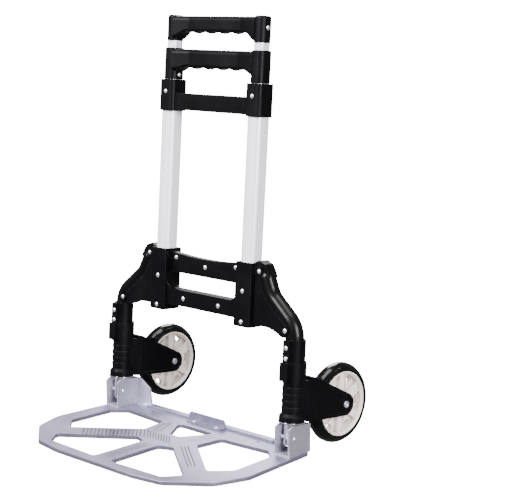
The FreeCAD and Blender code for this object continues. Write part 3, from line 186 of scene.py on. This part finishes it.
def anodised(name, tone, rough):
    """Drawn and anodised tube: fine die lines along its length, clouding across, a few handling marks."""
    s = Shader(name)
    along = (LEAN, 0.0, 0.0)
    lines = s.noise(1.0, 3.0, 0.6, s.stretched((2600.0, 2600.0, 14.0), along))
    wide = s.noise(1.0, 2.0, 0.5, s.stretched((420.0, 420.0, 3.0), along))
    cloud = s.noise(9.0, 4.0)
    scuffs = s.span(s.noise(1.0, 4.0, 0.65, s.stretched((900.0, 900.0, 45.0), along)), 0.66, 0.72, 0.0, 1.0)
    base = s.mix(s.span(wide, 0.3, 0.7, 0.0, 1.0), grey(tone, LAVENDER), grey(tone * 1.08, COOL))
    s.set(Base_Color=s.mix(s.product(scuffs, 0.35), base, grey(tone * 0.72)), Metallic=0.30)
    s.set(Roughness=s.total(s.span(cloud, 0.3, 0.7, rough, rough + 0.08), s.product(lines, 0.08)))
    height = s.total(lines, s.product(wide, 0.7))
    s.set(Normal=s.bump(height, 0.00005, 0.45, s.rounded(0.0004)))
    return s.material


def chromed():
    """Chromed steel: a slight ripple and small dull specks."""
    s = Shader("chrome")
    ripple = s.noise(60.0, 2.0)
    specks = s.span(s.noise(1500.0, 4.0, 0.7), 0.70, 0.74, 0.0, 1.0)
    s.set(Base_Color=s.mix(specks, grey(0.82, COOL), grey(0.42)), Metallic=1.0)
    s.set(Roughness=s.total(s.span(ripple, 0.3, 0.7, 0.07, 0.16), s.product(specks, 0.3)))
    s.set(Normal=s.bump(ripple, 0.0004, 0.12, s.rounded(0.0003)))
    return s.material


def bright_rivet():
    """Domed aluminium rivet heads, burnished by the setting tool, with tiny dents."""
    s = Shader("rivet")
    dents = s.cells(900.0, feature="SMOOTH_F1")
    grain = s.noise(1900.0, 3.0)
    s.set(Base_Color=s.mix(grain, grey(0.78, COOL), grey(0.92)), Metallic=0.9)
    s.set(Roughness=s.span(s.noise(420.0, 3.0), 0.3, 0.7, 0.20, 0.38))
    height = s.total(dents, s.product(grain, 0.3))
    s.set(Normal=s.bump(height, 0.00010, 0.6, s.rounded(0.0003)))
    return s.material


def plated_steel(name, tone, rough):
    """Zinc-plated steel: faint spangle with a bluish cast, fine grain and duller, warmer blotches."""
    s = Shader(name)
    spangle = s.cells(260.0)
    grain = s.noise(2300.0, 3.0)
    blotch = s.noise(40.0, 4.0)
    base = s.mix(s.span(spangle, 0.0, 0.9, 0.0, 1.0), grey(tone * 0.93, SILVER), grey(tone * 1.05, COOL))
    dull = grey(tone * 0.82, (1.0, 0.985, 0.95))
    s.set(Base_Color=s.mix(s.span(blotch, 0.45, 0.75, 0.0, 0.5), base, dull), Metallic=0.85)
    s.set(Roughness=s.total(s.span(blotch, 0.3, 0.7, rough, rough + 0.12), s.product(grain, 0.08)))
    s.set(Normal=s.bump(grain, 0.00006, 0.5, s.rounded(0.0004)))
    return s.material


PLATE_THICKNESS = 0.006
GROOVE_SHADE_START = 0.00025        # depths below the plate's top between which the painted shade in the grooves deepens
GROOVE_SHADE_FULL = 0.00055
GROOVE_LOWEST = 0.004              # height over the plate's underside, above which a level face is a groove


def blasted_aluminium():
    """Toe plate: bead-blasted casting, painted shade in the tread grooves, bright rubbed edges, faint scratches.
    """
    s = Shader("plate_aluminium")
    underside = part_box("toe_plate")[0].z
    top = underside + PLATE_THICKNESS
    blast = s.noise(1700.0, 4.0, 0.7)
    cloud = s.noise(14.0, 5.0)
    height = s.node("ShaderNodeSeparateXYZ", {0: s.place}).outputs["Z"]
    normal = s.node("ShaderNodeNewGeometry").outputs["Normal"]
    level = s.above(s.node("ShaderNodeSeparateXYZ", {0: normal}).outputs["Z"], 0.6)
    # painted shade: level faces sunk below the plate's top are marked as grooves
    sunk = s.span(height, top - GROOVE_SHADE_FULL, top - GROOVE_SHADE_START, 1.0, 0.0)
    groove_shade = s.product(s.product(level, sunk), s.above(height, underside + GROOVE_LOWEST))
    streaks = s.noise(1.0, 5.0, 0.7, s.stretched((60.0, 900.0, 60.0), (0.0, 0.0, 0.5)))
    scratch = s.span(streaks, 0.67, 0.71, 0.0, 1.0)
    rub = s.product(s.edges(0.0010), s.span(s.noise(90.0, 3.0), 0.35, 0.6, 0.2, 1.0))
    base = s.mix(cloud, grey(0.20, SILVER), grey(0.31, SILVER))
    worn = s.mix(s.product(rub, 0.7), base, grey(0.46, COOL))
    marked = s.mix(s.product(scratch, 0.35), worn, grey(0.26))
    # the grooves are painted near black as painted shade in the recesses
    s.set(Base_Color=s.mix(s.product(groove_shade, 0.97), marked, grey(0.012, LAVENDER)), Metallic=0.78)
    s.set(Roughness=s.total(s.span(cloud, 0.3, 0.7, 0.30, 0.42), s.product(blast, 0.1)))
    s.set(Normal=s.bump(blast, 0.00016, 0.4, s.rounded(0.0006)))
    return s.material


def ivory_hub():
    """Ivory nylon: slight translucence, flow lines, painted shade deep in its hollows, edges rubbed pale in
    places.
    """
    s = Shader("ivory_plastic")
    flow = s.noise(34.0, 5.0, 0.6, distortion=1.2)
    grain = s.noise(2100.0, 2.0)
    base = s.mix(flow, (0.86, 0.77, 0.71, 1.0), (0.97, 0.90, 0.86, 1.0))
    # painted shade: ambient occlusion darkens the hub's hollows and the gaps between its spokes
    openness = s.node("ShaderNodeAmbientOcclusion", {"Distance": 0.012}, samples=8).outputs["AO"]
    painted_shade = s.span(openness, 0.25, 0.85, 0.6, 0.0)
    rub = s.product(s.edges(0.0016), s.span(s.noise(120.0, 4.0), 0.5, 0.75, 0.0, 0.6))
    shaded_base = s.mix(painted_shade, base, (0.20, 0.175, 0.15, 1.0))
    s.set(Base_Color=s.mix(rub, shaded_base, (0.86, 0.83, 0.78, 1.0)), Roughness=s.span(flow, 0.3, 0.7, 0.26, 0.38))
    s.set(Subsurface_Weight=0.10, Subsurface_Scale=0.002, Subsurface_Radius=(1.0, 0.7, 0.5))
    s.set(Normal=s.bump(grain, 0.00008, 0.35, s.rounded(0.0005)))
    return s.material


def tyre_rubber():
    """Glossy polyurethane tyre: soft ripple, duller dusty patches and pale specks."""
    s = Shader("tyre")
    ripple = s.noise(260.0, 3.0)
    dust = s.span(s.noise(75.0, 6.0, 0.65), 0.52, 0.78, 0.0, 0.4)
    specks = s.span(s.noise(900.0, 4.0, 0.7), 0.68, 0.75, 0.0, 0.5)
    base = s.mix(dust, grey(0.001, COOL), grey(0.004, (1.0, 0.97, 0.93)))
    s.set(Base_Color=s.mix(specks, base, grey(0.03)))
    s.set(Roughness=s.span(dust, 0.0, 0.4, 0.14, 0.36), Specular_IOR_Level=0.20)
    s.set(Coat_Weight=0.10, Coat_Roughness=0.10)
    s.set(Normal=s.bump(ripple, 0.00012, 0.25))
    return s.material


def glide_plastic():
    """Pale glide plugs: clouded, fine grained."""
    s = Shader("glide")
    grain = s.noise(1300.0, 3.0)
    cloud = s.noise(30.0, 3.0)
    s.set(Base_Color=s.mix(cloud, grey(0.70), grey(0.80, WARM)), Roughness=s.span(cloud, 0.3, 0.7, 0.35, 0.5))
    s.set(Normal=s.bump(grain, 0.0001, 0.4))
    return s.material


LOOKS = {
    "outer_tube": anodised("outer_tube", 0.92, 0.34),
    "sliding_tube": anodised("sliding_tube", 0.88, 0.28),
    "glide": glide_plastic(),
    "lock_pin": plated_steel("lock_pin", 0.66, 0.26),
    "spring_steel": plated_steel("spring_steel", 0.42, 0.34),
    "black_plastic": moulded_black(),
    "rivet": bright_rivet(),
    "coated_tube": coated_steel(),
    "chrome": chromed(),
    "bolt_steel": plated_steel("bolt_steel", 0.70, 0.22),
    "ivory_plastic": ivory_hub(),
    "tyre": tyre_rubber(),
    "plate_aluminium": blasted_aluminium(),
    "bracket_sheet": plated_steel("bracket_sheet", 0.56, 0.36),
}


def dress(piece, look):
    piece.data.materials.clear()
    piece.data.materials.append(LOOKS[look])


for entry in frame["record"]["subparts"]:
    dress(frame["nodes"][entry["node"]], entry["material_slot"])


# ---------------------------------------------------------------- detail pieces on the wheels
RING_STEPS = 144                   # about the axle
BEAD_STEPS = 12                    # about a ring's own round section
# Rings on each face of a wheel: name, distance out from its middle, radius, radius of the section, look
WHEEL_RINGS = (
    ("tyre_bead", 0.0108, 0.0549, 0.00045, "tyre"),
    ("tyre_step", 0.01245, 0.0515, 0.00055, "tyre"),
    ("hub_lip", 0.0120, 0.0464, 0.0009, "ivory_plastic"),
    ("hub_shoulder", 0.0118, 0.0158, 0.0006, "ivory_plastic"),
)


def link(name, mesh, look, body):
    """Puts a mesh in the scene as a dressed piece that moves with a body."""
    piece = bpy.data.objects.new(name, mesh)
    bpy.context.scene.collection.objects.link(piece)
    mesh.shade_smooth()
    dress(piece, look)
    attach(piece, body)


def turned_ring(centre, profile, name):
    """Mesh turned about the axle from closed (x, radius) points."""
    points = []
    faces = []
    count = len(profile)
    for turn in range(RING_STEPS):
        angle = 2 * math.pi * turn / RING_STEPS
        for x, radius in profile:
            y = centre.y + radius * math.sin(angle)
            points.append((centre.x + x, y, centre.z + radius * math.cos(angle)))
    for turn in range(RING_STEPS):
        here = turn * count
        following = (turn + 1) % RING_STEPS * count
        for index in range(count):
            beside = (index + 1) % count
            faces.append((here + index, following + index, following + beside, here + beside))
    mesh = bpy.data.meshes.new(name)
    mesh.from_pydata(points, [], faces)
    work = bmesh.new()
    work.from_mesh(mesh)
    bmesh.ops.recalc_face_normals(work, faces=work.faces)
    work.to_mesh(mesh)
    work.free()
    return mesh


def bead(x, radius, section):
    """Round profile of radius section about (x, radius)."""
    profile = []
    for step in range(BEAD_STEPS):
        angle = 2 * math.pi * step / BEAD_STEPS
        profile.append((x + section * math.cos(angle), radius + section * math.sin(angle)))
    return profile


def wheel_details(side):
    """Bead and step on the tyre, lip and shoulder on the hub. The outer face is toward +X on either wheel."""
    centre = Vector(JOINTS[side + "_wheel_spin"]["pos_m"])
    for face, sign in (("outer", 1), ("inner", -1)):
        for kind, out, radius, section, look in WHEEL_RINGS:
            name = side + "_" + kind + "_" + face
            mesh = turned_ring(centre, bead(sign * out, radius, section), name)
            link(name, mesh, look, side + "_wheel")


for side in ("right", "left"):
    wheel_details(side)


# ---------------------------------------------------------------- floor, light and camera
FLOOR_REACH = 6.0                  # from the truck to the wall
FLOOR_BEND = 2.0                   # radius of the curve between floor and wall
FLOOR_RINGS = (0.5, 2.0)           # radii of the rings that divide the flat floor
WALL_HEIGHT = 5.0
FLOOR_DROP = 0.0002                # floor lies this far below the wheels
BEND_STEPS = 16
FLOOR_STEPS = 96                   # about the middle
FLOOR_GLOW = 16.0                  # lifts the floor to white, like a back-lit studio table

# Lamps: name, place, what it faces, width and length, watts
LAMPS = (
    ("key", (-0.9, -2.4, 2.2), (0.0, 0.0, 0.28), (1.2, 1.6), 330.0),
    ("fill", (2.8, -0.9, 1.3), (0.0, 0.0, 0.28), (1.0, 1.8), 200.0),
    ("rim", (-1.6, 2.0, 2.2), (0.0, 0.0, 0.3), (1.2, 1.2), 110.0),
    ("top", (0.2, 0.0, 3.0), (0.0, 0.0, 0.2), (1.8, 1.8), 110.0),
)
WORLD_STRENGTH = 0.30

VIEW_TURN = math.radians(42.9)     # camera's turn about Z
VIEW_DIP = math.radians(10.1)      # how far it looks down
VIEW_PLACE = (1.4341, -1.3822, 0.6372)
VIEW_LENS = 94.78                  # millimetres, on a sensor of this width:
VIEW_SENSOR = 36.0


def backdrop_profile():
    """Radius and height from the floor's first ring to the top of the wall."""
    flat_end = FLOOR_REACH - FLOOR_BEND
    profile = [(radius, 0.0) for radius in FLOOR_RINGS]
    profile.append((flat_end, 0.0))
    for index in range(1, BEND_STEPS + 1):
        angle = math.pi / 2 * index / BEND_STEPS
        profile.append((flat_end + FLOOR_BEND * math.sin(angle), FLOOR_BEND - FLOOR_BEND * math.cos(angle)))
    profile.append((FLOOR_REACH, WALL_HEIGHT))
    return profile


def backdrop_mesh():
    """Floor that curves up into a wall all round the truck."""
    profile = backdrop_profile()
    points = [(0.0, 0.0, -FLOOR_DROP)]
    faces = []
    for radius, height in profile:
        for turn in range(FLOOR_STEPS):
            angle = 2 * math.pi * turn / FLOOR_STEPS
            points.append((radius * math.cos(angle), radius * math.sin(angle), height - FLOOR_DROP))
    for turn in range(FLOOR_STEPS):
        following = (turn + 1) % FLOOR_STEPS
        faces.append((0, 1 + turn, 1 + following))
        for ring in range(len(profile) - 1):
            low = 1 + ring * FLOOR_STEPS
            high = low + FLOOR_STEPS
            faces.append((low + turn, high + turn, high + following, low + following))
    mesh = bpy.data.meshes.new("floor")
    mesh.from_pydata(points, [], faces)
    mesh.shade_smooth()
    return mesh


def backdrop():
    """Glowing white surroundings that cast no light or shadow on the truck and don't show in its gloss."""
    mesh = backdrop_mesh()
    floor = bpy.data.objects.new("floor", mesh)
    bpy.context.scene.collection.objects.link(floor)
    s = Shader("floor")
    s.set(Base_Color=s.mix(s.noise(3.0, 3.0), grey(0.90), grey(0.92)), Roughness=0.8)
    s.set(Emission_Color=grey(1.0), Emission_Strength=FLOOR_GLOW)
    mesh.materials.append(s.material)
    floor.visible_glossy = False
    floor.visible_diffuse = False
    floor.visible_shadow = False


def area_light(name, place, target, size, power):
    data = bpy.data.lights.new(name, "AREA")
    data.shape = "RECTANGLE"
    data.size, data.size_y = size
    data.energy = power
    lamp = bpy.data.objects.new(name, data)
    lamp.location = place
    lamp.rotation_euler = (Vector(target) - Vector(place)).to_track_quat("-Z", "Y").to_euler()
    bpy.context.scene.collection.objects.link(lamp)


def surroundings():
    """Even white light from all round, weak beside the lamps."""
    world = bpy.data.worlds.new("studio")
    world.use_nodes = True
    background = world.node_tree.nodes["Background"]
    background.inputs["Color"].default_value = grey(1.0)
    background.inputs["Strength"].default_value = WORLD_STRENGTH
    bpy.context.scene.world = world


def view():
    """Camera in front of the truck, to its right and looking slightly down."""
    camera = bpy.data.objects.new("camera", bpy.data.cameras.new("camera"))
    camera.data.lens = VIEW_LENS
    camera.data.sensor_width = VIEW_SENSOR
    camera.location = VIEW_PLACE
    camera.rotation_euler = (math.pi / 2 - VIEW_DIP, 0.0, VIEW_TURN)
    bpy.context.scene.collection.objects.link(camera)
    bpy.context.scene.camera = camera


backdrop()
for lamp in LAMPS:
    area_light(*lamp)
surroundings()
view()
